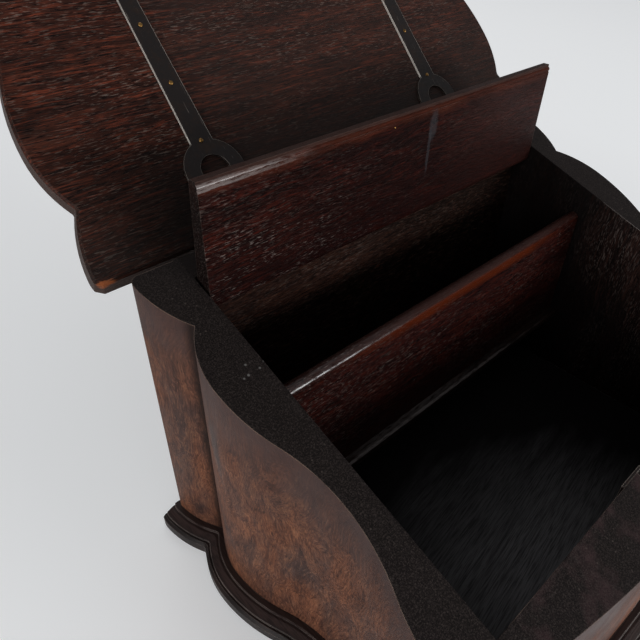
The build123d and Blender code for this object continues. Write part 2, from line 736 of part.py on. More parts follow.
with BuildPart() as lid_board:
    with BuildSketch(lid_inside):
        with Locations(Location((0, back_y + lid_back_edge, 0), (0, 0, 180))):
            add(lid_plan)
    extrude(amount=-lid_thickness)
    split(bisect_by=lid_back_cut, keep=Keep.TOP)
    back_face = lid_board.faces().filter_by(lid_back_cut).sort_by(Axis.Z)[0]
    back_corners = back_face.edges().sort_by(Axis.X)
    chamfer([back_corners[0], back_corners[-1]], length=lid_corner_bevel)
    flat_faces = lid_board.faces().filter_by(lambda f: f.area > half_inside * inner_depth)
    chamfer(flat_faces.edges(), length=lid_edge_bevel)
    with BuildSketch(lid_inside):
        with Locations((0, staple_forward)):
            Rectangle(
                2 * (staple_plate_half_width + nail_play), staple_plate_depth + 2 * nail_play)
    extrude(amount=-lock_sheet, mode=Mode.SUBTRACT)
    with BuildSketch(lid_inside.offset(-lock_sheet)):
        with Locations(*staple_nail_places):
            Rectangle(nail_hole, nail_hole)
    extrude(amount=-nail_length + lock_sheet, mode=Mode.SUBTRACT)
    with BuildSketch(lid_inside):
        with Locations(*strap_places):
            Rectangle(nail_hole, nail_hole)
    extrude(amount=-nail_length + iron_thickness, mode=Mode.SUBTRACT)
finish(lid_board, "lid_board")

# Strap hinge on the inside of the lid: knuckle, ring with its eye, and a long tapering tail
# that ends in a round
with BuildPart() as strap_left:
    with BuildSketch(lid_inside):
        with Locations((-hinge_offset, 0)):
            with Locations((0, axis_to_lid)):
                Rectangle(strap_width, ring_centre - axis_to_lid, align=(Align.CENTER, Align.MIN))
            with Locations((0, ring_centre)):
                Circle(ring_radius)
                Trapezoid(
                    strap_width, strap_length - ring_centre - strap_end_radius, strap_tail_angle,
                    align=(Align.CENTER, Align.MIN))
            with Locations((0, strap_length - strap_end_radius)):
                Circle(strap_end_radius)
            with Locations((0, ring_centre)):
                Circle(ring_hole_radius, mode=Mode.SUBTRACT)
            with Locations(*strap_nail_places):
                Rectangle(nail_hole, nail_hole, mode=Mode.SUBTRACT)
    extrude(amount=iron_thickness)
    with BuildSketch(lid_side.offset(-hinge_offset - strap_knuckle_width / 2)):
        with Locations((0, axis_to_lid)):
            Circle(knuckle_radius)
        Rectangle(axis_to_lid + iron_thickness, iron_thickness, align=(Align.MIN, Align.MIN))
    extrude(amount=strap_knuckle_width)
    with BuildSketch(lid_side.offset(-hinge_offset - strap_width)):
        with Locations((0, axis_to_lid)):
            Circle(hinge_pin_radius + hinge_running_gap)
    extrude(amount=2 * strap_width, mode=Mode.SUBTRACT)
finish(strap_left, "strap_left")

with BuildPart() as strap_right:
    add(mirror(strap_left.part, about=Plane.YZ))
finish(strap_right, "strap_right")

with BuildPart() as strap_nails:
    drive_nails(lid_inside.offset(iron_thickness), strap_places)
finish(strap_nails, "strap_nails")

# Staple: a plate let into the lid with an eye that drops through the case for the bolt
with BuildPart() as staple:
    with BuildSketch(lid_inside):
        with Locations((0, staple_forward)):
            Rectangle(2 * staple_plate_half_width, staple_plate_depth)
        with Locations(*staple_nail_places):
            Rectangle(nail_hole, nail_hole, mode=Mode.SUBTRACT)
    extrude(amount=-lock_sheet)
    with BuildSketch(lid_side.offset(-staple_thickness / 2)):
        with Locations((staple_forward, 0)):
            Rectangle(2 * staple_half_width, staple_tip, align=(Align.CENTER, Align.MIN))
        with Locations((staple_forward, staple_out)):
            Rectangle(
                2 * (staple_half_width - staple_wall), 2 * staple_hole_half, mode=Mode.SUBTRACT)
    extrude(amount=staple_thickness)
finish(staple, "staple")

with BuildPart() as staple_nails:
    drive_nails(lid_inside, staple_nail_places)
finish(staple_nails, "staple_nails")
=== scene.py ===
import math

import bmesh
import bpy
from mathutils import Matrix, Vector


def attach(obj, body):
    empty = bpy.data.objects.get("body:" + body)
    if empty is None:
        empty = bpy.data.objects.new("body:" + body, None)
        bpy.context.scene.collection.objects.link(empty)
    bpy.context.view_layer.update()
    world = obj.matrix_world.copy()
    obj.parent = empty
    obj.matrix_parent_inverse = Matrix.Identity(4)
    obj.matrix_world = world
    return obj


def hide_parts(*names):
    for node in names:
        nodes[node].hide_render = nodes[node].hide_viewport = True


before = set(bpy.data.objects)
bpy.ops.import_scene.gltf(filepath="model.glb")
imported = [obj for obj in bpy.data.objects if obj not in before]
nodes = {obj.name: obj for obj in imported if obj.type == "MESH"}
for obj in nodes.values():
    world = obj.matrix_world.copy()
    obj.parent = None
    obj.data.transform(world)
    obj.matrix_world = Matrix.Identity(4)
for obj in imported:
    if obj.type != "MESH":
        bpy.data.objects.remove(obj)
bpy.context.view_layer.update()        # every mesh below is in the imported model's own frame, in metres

# Viewpoint: above the front left corner, looking down into the open box. The place, the aim
# and the lens come from the edges of the box as the photograph shows them.
CAMERA_PLACE = (-0.22828, -0.10179, 0.30841)
TURN, TILT, ROLL = (math.radians(angle) for angle in (-42.75, 38.40, -1.02))
SENSOR_WIDTH, FOCAL_LENGTH = 36.0, 33.31        # mm
NEAREST_SEEN = 0.01

level = Vector((math.cos(TURN), math.sin(TURN), 0))
ahead = Vector((-math.sin(TURN) * math.cos(TILT), math.cos(TURN) * math.cos(TILT), -math.sin(TILT)))
down = ahead.cross(level)
right = math.cos(ROLL) * level + math.sin(ROLL) * down
below = -math.sin(ROLL) * level + math.cos(ROLL) * down
lens = bpy.data.cameras.new("photo_lens")
lens.sensor_width, lens.lens, lens.clip_start = SENSOR_WIDTH, FOCAL_LENGTH, NEAREST_SEEN
camera = bpy.data.objects.new("photo_camera", lens)
aim = Matrix((right, -below, -ahead)).transposed().to_4x4()
camera.matrix_world = Matrix.Translation(CAMERA_PLACE) @ aim
bpy.context.scene.collection.objects.link(camera)
bpy.context.scene.camera = camera
bpy.context.scene.view_settings.view_transform = "Standard"


# Table: a plain pale sheet of matt paper under the box, running past the view on every side.
# Its glow, painted light that grows from left to right, is seen by the eye and in reflections
# only, so it throws no light on the box.
def srgb(hex_code):
    """A colour written as sRGB hex, as linear values."""
    values = [int(hex_code[i:i + 2], 16) / 255 for i in (1, 3, 5)]
    linear = [v / 12.92 if v <= 0.04045 else ((v + 0.055) / 1.055) ** 2.4 for v in values]
    return (*linear, 1.0)


def add(tree, kind, inputs, out=0, **settings):
    """Adds one node with its settings, fills or links its inputs and gives one of its outputs."""
    made = tree.nodes.new(kind)
    for key, value in settings.items():
        setattr(made, key, value)
    for key, value in inputs.items():
        if isinstance(value, bpy.types.NodeSocket):
            tree.links.new(value, made.inputs[key])
        else:
            made.inputs[key].default_value = value
    return made.outputs[out] if len(made.outputs) else made


def bare_finish(name, roughness, specular=0.5, metallic=0.0):
    """A finish with its shader ready, before its colour, gloss and relief are worked out. The
    woods have a low specular level, because dust and open pores break up their shine."""
    finish = bpy.data.materials.new(name)
    finish.use_nodes = True
    tree = finish.node_tree
    tree.nodes.clear()
    surface = add(tree, "ShaderNodeBsdfPrincipled", {
        "Roughness": roughness, "Specular IOR Level": specular, "Metallic": metallic})
    add(tree, "ShaderNodeOutputMaterial", {"Surface": surface})
    return finish, tree, surface.node


PAPER_SIZE, PAPER_DROP = 12, 0.0002
GLOW_LEFT, GLOW_RIGHT = 0.18, 0.29
paper, tree, surface = bare_finish("matt_paper", 0.9, 0.1)
surface.inputs["Base Color"].default_value = srgb("#f0f1f1")
seen, mirrored, through = (
    add(tree, "ShaderNodeLightPath", {}, out=f"Is {ray} Ray") for ray in ("Camera", "Glossy", "Transmission"))
paleness = add(tree, "ShaderNodeMath", {0: seen, 1: mirrored}, operation="ADD")
paleness = add(tree, "ShaderNodeMath", {0: paleness, 1: through}, operation="ADD")
across = add(tree, "ShaderNodeSeparateXYZ", {0: add(tree, "ShaderNodeTexCoord", {}, out="Object")})
# painted light: the paper's glow grows from GLOW_LEFT at the left to GLOW_RIGHT at the right
painted_light_across = add(tree, "ShaderNodeMapRange", {0: across, 1: -0.3, 2: 0.6, 3: GLOW_LEFT, 4: GLOW_RIGHT})
glow = add(tree, "ShaderNodeMath", {0: paleness, 1: painted_light_across}, operation="MULTIPLY")
surface.inputs["Emission Color"].default_value = srgb("#fbfcfd")
tree.links.new(glow, surface.inputs["Emission Strength"])
bpy.ops.mesh.primitive_plane_add(size=PAPER_SIZE, location=(0, 0, -PAPER_DROP))
floor = bpy.context.object
floor.name = "floor"
floor.data.materials.append(paper)


# Studio light: an even pale room, one broad low softbox in front and a little to the right, whose
# light rakes over the front board and stops part of the way down inside the till, and two weaker
# ones to the left and behind.
def softbox(name, place, aim, width, height, power):
    """A rectangular studio light turned to what it lights."""
    data = bpy.data.lights.new(name, "AREA")
    data.shape, data.size, data.size_y, data.energy = "RECTANGLE", width, height, power
    light = bpy.data.objects.new(name, data)
    light.location = place
    light.rotation_euler = (Vector(aim) - Vector(place)).to_track_quat("-Z", "Y").to_euler()
    bpy.context.scene.collection.objects.link(light)


ROOM_LIGHT = 0.40
world = bpy.data.worlds.new("studio")
world.use_nodes = True
room = world.node_tree.nodes["Background"]
room.inputs[0].default_value = srgb("#f4f6fa")
room.inputs[1].default_value = ROOM_LIGHT
bpy.context.scene.world = world
softbox("front_low", (0.50, -1.45, 0.24), (0, 0, 0.12), 0.8, 0.42, 15)
softbox("left_side", (-1.5, -0.30, 0.40), (0, 0, 0.1), 1.0, 0.6, 12)
softbox("behind", (0.6, 1.5, 1.5), (0, 0.1, 0), 1.2, 0.9, 5)


# Bottom board: a plain board glued and nailed under the walls, never finished. Inside it is
# near black and scrubbed at a slight angle to its grain, with a ragged pool of painted light,
# a pale grey, towards the front where light comes in. Underneath it is dry brown wood.
def in_millimetres(tree):
    """Place on the piece in millimetres, in the frame of the model."""
    place = add(tree, "ShaderNodeTexCoord", {}, out="Object")
    return add(tree, "ShaderNodeVectorMath", {0: place, 1: (1000, 1000, 1000)}, operation="MULTIPLY")


def grain(tree, place, size, seed, detail=2.0, rough=0.5, warp=0.0):
    """Soft streaks about as long, wide and deep in mm as size says."""
    scaled = add(tree, "ShaderNodeVectorMath", {
        0: place, 1: [1 / s for s in size], 2: (seed, seed * 1.7, seed * 0.6)}, operation="MULTIPLY_ADD")
    return add(tree, "ShaderNodeTexNoise", {
        "Vector": scaled, "Scale": 1.0, "Detail": detail, "Roughness": rough, "Distortion": warp})


def along(axis, length, width):
    """Size of a streak that runs along one axis of the box."""
    return [length if i == axis else width for i in range(3)]


def coats(tree, colour, *layers):
    """Lays colours over one another. Each layer has a mask, the values of the mask at which the
    layer begins and is at its full strength, that strength, and its colour."""
    for mask, begins, full, strength, tone in layers:
        cover = add(tree, "ShaderNodeMapRange", {0: mask, 1: begins, 2: full, 3: 0.0, 4: strength})
        colour = add(tree, "ShaderNodeMix", {0: cover, 6: colour, 7: srgb(tone)}, out=2, data_type="RGBA")
    return colour


def where(tree, *masks):
    """A mask that is strong only where all of these are. One that comes with two of its values
    is first spread, so that it is 0 at the first of them and 1 at the second."""
    spread = [add(tree, "ShaderNodeMapRange", dict(enumerate(mask))) if isinstance(mask, tuple) else mask
              for mask in masks]
    product = spread[0]
    for other in spread[1:]:
        product = add(tree, "ShaderNodeMath", {0: product, 1: other}, operation="MULTIPLY")
    return product


def spot(tree, place, centre, reach):
    """0 at a place in mm, and 1 as far from it as reach says along each axis."""
    offset = add(tree, "ShaderNodeVectorMath", {0: place, 1: centre}, operation="SUBTRACT")
    share = add(tree, "ShaderNodeVectorMath", {0: offset, 1: reach}, operation="DIVIDE")
    return add(tree, "ShaderNodeVectorMath", {0: share}, out=1, operation="LENGTH")


def arrises(tree, width):
    """1 along the arrises of a piece, over about width mm, and 0 on its faces."""
    rounded = add(tree, "ShaderNodeBevel", {"Radius": width / 1000}, samples=6)
    flat = add(tree, "ShaderNodeNewGeometry", {}, out="True Normal")
    alike = add(tree, "ShaderNodeVectorMath", {0: rounded, 1: flat}, out=1, operation="DOT_PRODUCT")
    return where(tree, (alike, 0.995, 0.80))


def facing(tree, direction):
    """How squarely a surface faces a direction of the box, from -1 to 1."""
    normal = add(tree, "ShaderNodeTexCoord", {}, out="Normal")
    return add(tree, "ShaderNodeVectorMath", {0: normal, 1: direction}, out=1, operation="DOT_PRODUCT")


def relieve(tree, shader, colour, roughness, height, strength, depth=0.4, softened=0.8):
    """Gives the shader its colour, gloss and relief, with arrises eased by softened mm."""
    rounded = add(tree, "ShaderNodeBevel", {"Radius": softened / 1000}, samples=4)
    normal = add(tree, "ShaderNodeBump", {
        "Height": height, "Strength": strength, "Distance": depth / 1000, "Normal": rounded})
    for key, value in (("Base Color", colour), ("Roughness", roughness), ("Normal", normal)):
        tree.links.new(value, shader.inputs[key])


def dress(finish, *names):
    """Gives CAD nodes their finish."""
    for name in names:
        for slot in nodes[name].material_slots:
            slot.material = finish


ALONG_X, ALONG_Y, ALONG_Z = 0, 1, 2
SCRUB_ANGLE = math.radians(8)
ENDLESS = 1e5                           # mm, for a spot with no limit along one axis
LIT_CORNER, LIT_REACH = (-28.0, -80.0, 8.0), (122.0, 106.0, ENDLESS)    # mm, where light comes in

# Unfinished board: matt, with fibres drawn 0.7 mm wide, wider than real ones, so that they show
raw_board, tree, shader = bare_finish("unfinished_board", 0.7, 0.08)
place = in_millimetres(tree)
askew = add(tree, "ShaderNodeVectorRotate", {"Vector": place, "Angle": -SCRUB_ANGLE}, rotation_type="Z_AXIS")
fibre = grain(tree, askew, along(ALONG_X, 16, 0.7), 7.7, 4, 0.65, 0.3)
streak = grain(tree, askew, along(ALONG_X, 46, 2.4), 1.9, 3, 0.6, 0.5)
cloud = grain(tree, place, (55, 55, 55), 9.3, 3)
ragged = grain(tree, askew, along(ALONG_X, 60, 12), 6.4, 3, 0.6)
# painted light: pale grey, ragged, strongest at LIT_CORNER and gone about LIT_REACH away
from_lit_corner = add(tree, "ShaderNodeMath", {
    0: ragged, 1: 0.5, 2: spot(tree, place, LIT_CORNER, LIT_REACH)}, operation="MULTIPLY_ADD")
underneath = where(tree, (facing(tree, (0, 0, -1)), 0.5, 0.6))
colour = coats(
    tree, srgb("#0b0909"),
    (from_lit_corner, 1.25, 0.42, 0.95, "#626061"),
    (fibre, 0.56, 0.38, 0.65, "#0e0c0c"),
    (streak, 0.46, 0.30, 0.30, "#0b0a0a"),
    (underneath, 0.0, 1.0, 0.9, "#4a382b"),
    (where(tree, underneath, fibre), 0.30, 0.62, 0.7, "#2b1f18"))
gloss = add(tree, "ShaderNodeMapRange", {0: cloud, 3: 0.62, 4: 0.8})
relieve(tree, shader, colour, gloss, fibre, 0.35)
dress(raw_board, "bottom_board")


# Bottom nails: cut iron nails, driven up through the bottom board into the walls. They are left
# black, with a little rust and hardly any bright metal.
def wrought(name, tone, rust, bright, roughness, wear=0.8):
    """Forged iron: dark scale, a little rust in its hollows, rubbed bright along its edges. Its
    scratches are drawn 0.7 mm wide, coarser than real ones, so that they show."""
    finish, tree, shader = bare_finish(name, roughness, 0.4, 0.7)
    place = in_millimetres(tree)
    mottle = grain(tree, place, (5, 5, 5), 2.2, 4, 0.65)
    hammered = grain(tree, place, (1.4, 1.4, 1.4), 6.1, 3, 0.6)
    scratch = grain(tree, place, (0.7, 9, 9), 3.3, 2, 0.5, 0.4)
    colour = coats(
        tree, srgb(tone),
        (mottle, 0.48, 0.70, 0.8, rust),
        (scratch, 0.70, 0.76, 0.25, bright),
        (where(tree, arrises(tree, 0.45), (mottle, 0.30, 0.50)), 0.0, 1.0, wear, bright))
    gloss = add(tree, "ShaderNodeMapRange", {
        0: hammered, 1: 0.3, 2: 0.7, 3: roughness - 0.06, 4: roughness + 0.16})
    relieve(tree, shader, colour, gloss, hammered, 0.3, 0.2, 0.3)
    return finish


black_iron = wrought("black_nail_iron", "#1a1715", "#33211a", "#5a534e", 0.55, 0.4)
dress(black_iron, "bottom_nails")


# Back board: dark open-grained wood like the till lid in front of it, butted between the side
# boards. Its inner face is stained red-brown and left rough, its top edge is blackened, and its
# pores hold pale dust and painted glints. Painted shade darkens its inner face below the top of
# the till front, towards both ends and towards the right.
def open_grain(tree, axis, deep, body, ruddy, seed, flecks, dust_and_glint="#6b5a52", dust_and_glint_level=0.62, sway=3.0):
    """Stained open-grained wood: fine ruddy and dark streaks that sway by some mm, black pores a
    few mm long, and pale flecks in some of them, dust that also serves as painted glints of pores
    catching light, more of them where their threshold is low. The pores are drawn 0.6 mm wide,
    about three times as wide as real ones, so that they show. Gives its colour, relief and
    clouding."""
    black = "#070404"
    place = in_millimetres(tree)
    bends = add(tree, "ShaderNodeVectorMath", {0: place, 1: [1 / s for s in along(axis, 55, 24)]},
                operation="MULTIPLY")
    drift = add(tree, "ShaderNodeTexNoise", {"Vector": bends, "Scale": 1.0, "Detail": 2.0}, out=1)
    lines = add(tree, "ShaderNodeVectorMath", {0: drift, 1: along(axis, 0, sway), 2: place},
                operation="MULTIPLY_ADD")
    wave = grain(tree, lines, along(axis, 60, 9), 3.1 + seed, 4, 0.6, 0.4)
    streak = grain(tree, lines, along(axis, 24, 1.3), 1.9 + seed, 4, 0.66, 0.2)
    fibre = grain(tree, lines, along(axis, 11, 0.7), 7.7 + seed, 3, 0.6)
    cloud = grain(tree, place, along(axis, 70, 40), 9.3 + seed, 3)
    pore = where(tree, (grain(tree, lines, along(axis, 6.0, 0.62), 0.3 + seed, 1), 0.56, 0.64))
    dust_and_glint_grain = grain(tree, lines, along(axis, 4.2, 0.62), 8.1 + seed, 2)
    where_dust_and_glints = grain(tree, place, along(axis, 60, 14), 5.2 + seed, 2)
    colour = coats(
        tree, srgb(body),
        (wave, 0.34, 0.60, 0.85, deep),
        (streak, 0.52, 0.74, 0.75, ruddy),
        (streak, 0.48, 0.30, 0.75, black),
        (fibre, 0.60, 0.34, 0.55, deep),
        (fibre, 0.56, 0.76, 0.35, ruddy),
        (cloud, 0.46, 0.30, 0.55, black),
        (pore, 0.0, 1.0, 0.8, black),
        # pale flecks: dust, and painted glints of pores catching light
        (where(tree, (dust_and_glint_grain, dust_and_glint_level, dust_and_glint_level + 0.07), (where_dust_and_glints, 0.34, 0.66)), 0.0, 1.0, flecks, dust_and_glint))
    height = add(tree, "ShaderNodeMath", {0: fibre, 1: pore}, operation="SUBTRACT")
    return colour, height, cloud


inner_oak, tree, shader = bare_finish("stained_oak_back", 0.5, 0.03)
colour, height, cloud = open_grain(
    tree, ALONG_X, "#1f110e", "#3a241d", "#55301f",
    dust_and_glint="#6f625c", flecks=0.45, dust_and_glint_level=0.55, seed=2.0, sway=9.0)
place = in_millimetres(tree)
torn = grain(tree, place, along(ALONG_X, 7, 1.1), 23.0, 4, 0.7, 0.6)
across, level_mm = (add(tree, "ShaderNodeSeparateXYZ", {0: place}, out=axis) for axis in (ALONG_X, ALONG_Z))
from_middle = add(tree, "ShaderNodeMath", {0: across}, operation="ABSOLUTE")
outside = facing(tree, (0, 1, 0))
colour = coats(
    tree, colour,
    # painted shade: darker below the till front's top, towards both ends and towards the right
    (level_mm, 127.0, 114.0, 0.85, "#050303"),
    (from_middle, 30.0, 120.0, 0.6, "#060404"),
    (across, -100.0, -40.0, 0.30, "#0c0504"),
    (across, -60.0, 40.0, 0.60, "#0b0705"),
    (torn, 0.52, 0.38, 0.75, "#080504"),
    (torn, 0.58, 0.72, 0.40, "#5b4c42"),
    (outside, 0.5, 0.7, 0.85, "#241612"),
    (where(tree, outside, height), 0.20, 0.60, 0.6, "#3c251d"),
    (facing(tree, (0, 0, 1)), 0.5, 0.7, 0.9, "#1b1716"))
gloss = add(tree, "ShaderNodeMapRange", {0: cloud, 1: 0.35, 2: 0.65, 3: 0.42, 4: 0.6})
relieve(tree, shader, colour, gloss, height, 0.35)
dress(inner_oak, "back_wall")


# Side boards: thick mahogany sawn and carved to a swelling outline, so that its rings run out in
# loops over the swells. Waxed red-brown outside, stained inside, and blackened along the rim.
RIM_SLOPE = math.radians(18.5)
BACK_HEIGHT, BACK_Y = 167.0, 102.45             # mm, where the rim meets the back of the box
ROOM_SIDE = 125.0                               # mm from the middle to the inner faces
SIDE_QUIRK = (139.0, 69.95)
PECKED, PECKED_REACH = (-131.0, 41.8, 146.6), (8.0, 4.6, 9.0)   # pale pecks in the left rim


def below_rim(tree, place):
    """Depth below the sloping rim, in mm, measured straight down."""
    along_rim = add(tree, "ShaderNodeVectorMath", {0: place, 1: (0, math.tan(RIM_SLOPE), -1)},
                    out=1, operation="DOT_PRODUCT")
    return add(tree, "ShaderNodeMath", {0: along_rim, 1: BACK_HEIGHT - BACK_Y * math.tan(RIM_SLOPE)},
               operation="ADD")


def figured(tree, seed):
    """Waxed mahogany cut across its rings: looping dark lines, soft clouds of orange and mauve,
    and short pores running down the box, drawn 0.6 mm wide so that they show."""
    place = in_millimetres(tree)
    wander = add(tree, "ShaderNodeTexNoise", {"Vector": place, "Scale": 0.024, "Detail": 3.0}, out=1)
    bent = add(tree, "ShaderNodeVectorMath", {0: wander, 1: (22, 22, 30), 2: place}, operation="MULTIPLY_ADD")
    height = add(tree, "ShaderNodeSeparateXYZ", {0: bent}, out=ALONG_Z)
    lean = add(tree, "ShaderNodeVectorMath", {0: (0.16, 0.16, 0), 3: height}, operation="SCALE")
    bent = add(tree, "ShaderNodeVectorMath", {0: bent, 1: lean}, operation="ADD")
    moved = add(tree, "ShaderNodeVectorMath", {0: bent, 1: (seed, 9 + seed, 31)}, operation="ADD")
    ring_width, plain_spacing = 6.0, 0.314      # mm, and how far apart the rings are at a scale of 1
    rings = add(tree, "ShaderNodeTexWave", {
        "Vector": moved, "Scale": plain_spacing / ring_width,
        "Distortion": 2.2, "Detail": 3.0, "Detail Scale": 0.7},
        wave_type="RINGS", rings_direction="Z", wave_profile="SIN")
    cloud = grain(tree, place, (26, 22, 52), 4.4 + seed, 3, 0.55, 0.6)
    blotch = grain(tree, bent, (9, 9, 19), 6.1 + seed, 4, 0.62, 0.9)
    fibre = grain(tree, bent, (0.9, 0.9, 9.0), 2.3 + seed, 4, 0.65, 0.4)
    pore = where(tree, (grain(tree, bent, (0.6, 0.6, 3.0), 0.7 + seed, 1), 0.60, 0.68))
    colour = coats(
        tree, srgb("#48332d"),
        (cloud, 0.36, 0.62, 0.9, "#714632"),
        (blotch, 0.50, 0.72, 0.50, "#875a41"),
        (rings, 0.60, 0.96, 0.22, "#2f1f1b"),
        (blotch, 0.46, 0.30, 0.75, "#2f201d"),
        (fibre, 0.56, 0.36, 0.62, "#291a16"),
        (fibre, 0.56, 0.72, 0.45, "#93694f"),
        (pore, 0.0, 1.0, 0.5, "#1b100c"))
    return place, colour, add(tree, "ShaderNodeMath", {0: fibre, 1: pore}, operation="SUBTRACT"), cloud


def wall_board(name, axis, inward, room, quirks, seed, mauve=0.0, edge_wear=0.0):
    """A wall: figured outside, stained open grain inside, and matt black on its top. Inside, painted
    shade deepens down from the rim and towards the back. room is how far its inner face is from
    the middle of the box, in mm. Each quirk is a place in plan, in mm, where two swells meet and a
    painted shade runs from top to bottom. mauve is how much of the wood shows through the black of
    the top, and edge_wear how bright its inner arris is rubbed."""
    finish, tree, shader = bare_finish(name, 0.5, 0.08)
    place, outer, height, cloud = figured(tree, seed)
    depth = below_rim(tree, place)
    haze = grain(tree, place, (26, 26, 20), 1.1 + seed, 2)
    outer = coats(
        tree, outer,
        (depth, 44.0, 4.0, 0.85, "#352826"),
        (where(tree, (depth, 70.0, 10.0), haze), 0.35, 0.62, 0.22, "#574643"))
    for quirk in quirks:
        # painted shade down the quirk, where two swells meet
        quirk_shade = spot(tree, place, (*quirk, 0), (6.0, 6.5, ENDLESS))
        outer = coats(tree, outer, (quirk_shade, 1.0, 0.35, 0.85, "#170e0b"))
    inner = open_grain(tree, axis, "#120b0a", "#2c1c18", "#402821", dust_and_glint="#6e625d", flecks=0.45,
                       dust_and_glint_level=0.56, seed=seed, sway=14.0)[0]
    toward_back = add(tree, "ShaderNodeSeparateXYZ", {0: place}, out=ALONG_Y)
    # painted shade inside: darker towards the back and deeper below the rim
    inner = coats(
        tree, inner,
        (toward_back, 2.0, 38.0, 0.88, "#050303"),
        (depth, 30.0, 66.0, 0.75, "#060404"))
    facing_in = where(tree, (facing(tree, inward), 0.90, 0.97))
    both_faces = add(tree, "ShaderNodeMix", {0: facing_in, 6: outer, 7: inner}, out=2, data_type="RGBA")

    # The top: end grain gone black, with a fine tooth and a few pale specks, rubbed at its arrises.
    # The tooth is drawn 0.6 mm across, about twice as coarse as the real one.
    top = where(tree, (facing(tree, (0, 0, 1)), 0.6, 0.75))
    within = add(tree, "ShaderNodeVectorMath", {0: place, 1: inward}, out=1, operation="DOT_PRODUCT")
    outside = where(tree, (within, -room - 1.5, -room - 3.0))
    rubbed = grain(tree, place, (16, 16, 16), 2.9 + seed, 4, 0.6)
    tooth = grain(tree, place, (0.6, 0.6, 0.6), 3.5, 3, 0.75)
    mellow = grain(tree, place, (17, 17, 17), 14.9 + seed, 3, 0.6)
    ring_lines = grain(tree, place, along(ALONG_Y, 22, 2.0), 5.5 + seed, 3, 0.6, 1.4)
    speck = add(tree, "ShaderNodeTexVoronoi", {"Vector": place, "Scale": 0.32})
    speckled = grain(tree, place, (20, 20, 20), 12.4, 2)
    pecks = where(tree, (speck, 0.24, 0.12), (spot(tree, place, PECKED, PECKED_REACH), 1.0, 0.8))
    inner_edge = where(
        tree, arrises(tree, 0.8), (within, -room - 2.0, -room - 1.0), (toward_back, 30.0, 24.0))
    colour = coats(
        tree, both_faces,
        (where(tree, arrises(tree, 1.0), outside, rubbed), 0.26, 0.50, 0.6, "#a08470"),
        (top, 0.0, 1.0, 1.0, "#171211"),
        (where(tree, top, ring_lines), 0.50, 0.68, 0.30, "#2a2423"),
        (where(tree, top, mellow), 0.48, 0.66, mauve, "#4a3536"),
        (where(tree, top, tooth), 0.50, 0.66, 0.8, "#3a3330"),
        (where(tree, top, (tooth, 0.47, 0.34)), 0.0, 1.0, 0.7, "#0a0808"),
        (where(tree, top, (speck, 0.17, 0.06), (speckled, 0.48, 0.66)), 0.0, 1.0, 0.4, "#6a605a"),
        (where(tree, top, pecks), 0.0, 1.0, 0.5, "#827f7c"),
        (where(tree, inner_edge, rubbed), 0.30, 0.55, edge_wear, "#9b938e"),
        (where(tree, top, arrises(tree, 0.8), outside, rubbed), 0.26, 0.50, 0.6, "#8d7a70"))
    satin = add(tree, "ShaderNodeMapRange", {0: cloud, 1: 0.35, 2: 0.65, 3: 0.40, 4: 0.56})
    gloss = add(tree, "ShaderNodeMix", {0: top, 2: satin, 3: 0.72}, data_type="FLOAT")
    relieve(tree, shader, colour, gloss, height, 0.22)
    return finish


def mirrored_quirk(quirk):
    """The same place on the other side of the box."""
    return -quirk[0], quirk[1]


left_board = wall_board("carved_mahogany_left", ALONG_Z, (1, 0, 0), ROOM_SIDE,
                        [mirrored_quirk(SIDE_QUIRK)], seed=0.0)
right_board = wall_board("carved_mahogany_right", ALONG_Z, (-1, 0, 0), ROOM_SIDE,
                         [SIDE_QUIRK], seed=3.7, edge_wear=0.7)
dress(left_board, "left_wall")
dress(right_board, "right_wall")


# Front board: the same mahogany, lower, with its middle swelling forward. It meets the side
# boards on mitres, and has a mortise for the lock and a plain keyhole.
ROOM_FRONT = 75.6                       # mm from the middle to its inner face
FRONT_QUIRK = (116.9, -92.05)
front_board = wall_board("carved_mahogany_front", ALONG_X, (0, 1, 0), ROOM_FRONT,
                         [FRONT_QUIRK, mirrored_quirk(FRONT_QUIRK)], seed=7.9, mauve=0.5, edge_wear=0.4)
dress(front_board, "front_wall")


# Base moulding: three mitred lengths run with a plane and glued on, stained nearly black, darker
# again along its top, and the swelling member and the foot rubbed back to a pinkish brown.
FOOT_TOP, SWELL_FOOT = (7.3, 8.6), (10.5, 11.2)         # mm above the table


def moulding_board(name, axis):
    """Stained moulding: wear and darker bands pick out its own levels. Its fibres are drawn 0.9 mm
    wide, about three times as wide as real ones, so that they show."""
    finish, tree, shader = bare_finish(name, 0.5, 0.12)
    place = in_millimetres(tree)
    level_mm = add(tree, "ShaderNodeSeparateXYZ", {0: place}, out=ALONG_Z)
    fibre = grain(tree, place, along(axis, 26, 0.9), 7.7, 3, 0.6)
    patch = grain(tree, place, along(axis, 26, 9), 3.9, 3, 0.55)
    colour = coats(
        tree, srgb("#1a1210"),
        (level_mm, *FOOT_TOP, 0.85, "#332522"),
        (patch, 0.46, 0.70, 0.45, "#3a2b27"),
        (fibre, 0.58, 0.36, 0.6, "#0f0908"),
        (level_mm, *SWELL_FOOT, 0.6, "#2a1e1a"),
        (where(tree, arrises(tree, 0.8), (patch, 0.34, 0.56)), 0.0, 1.0, 0.7, "#857871"))
    gloss = add(tree, "ShaderNodeMapRange", {0: patch, 3: 0.5, 4: 0.36})
    relieve(tree, shader, colour, gloss, fibre, 0.25)
    return finish


dress(moulding_board("run_moulding_side", ALONG_Y), "moulding_left", "moulding_right")
dress(moulding_board("run_moulding_front", ALONG_X), "moulding_front")


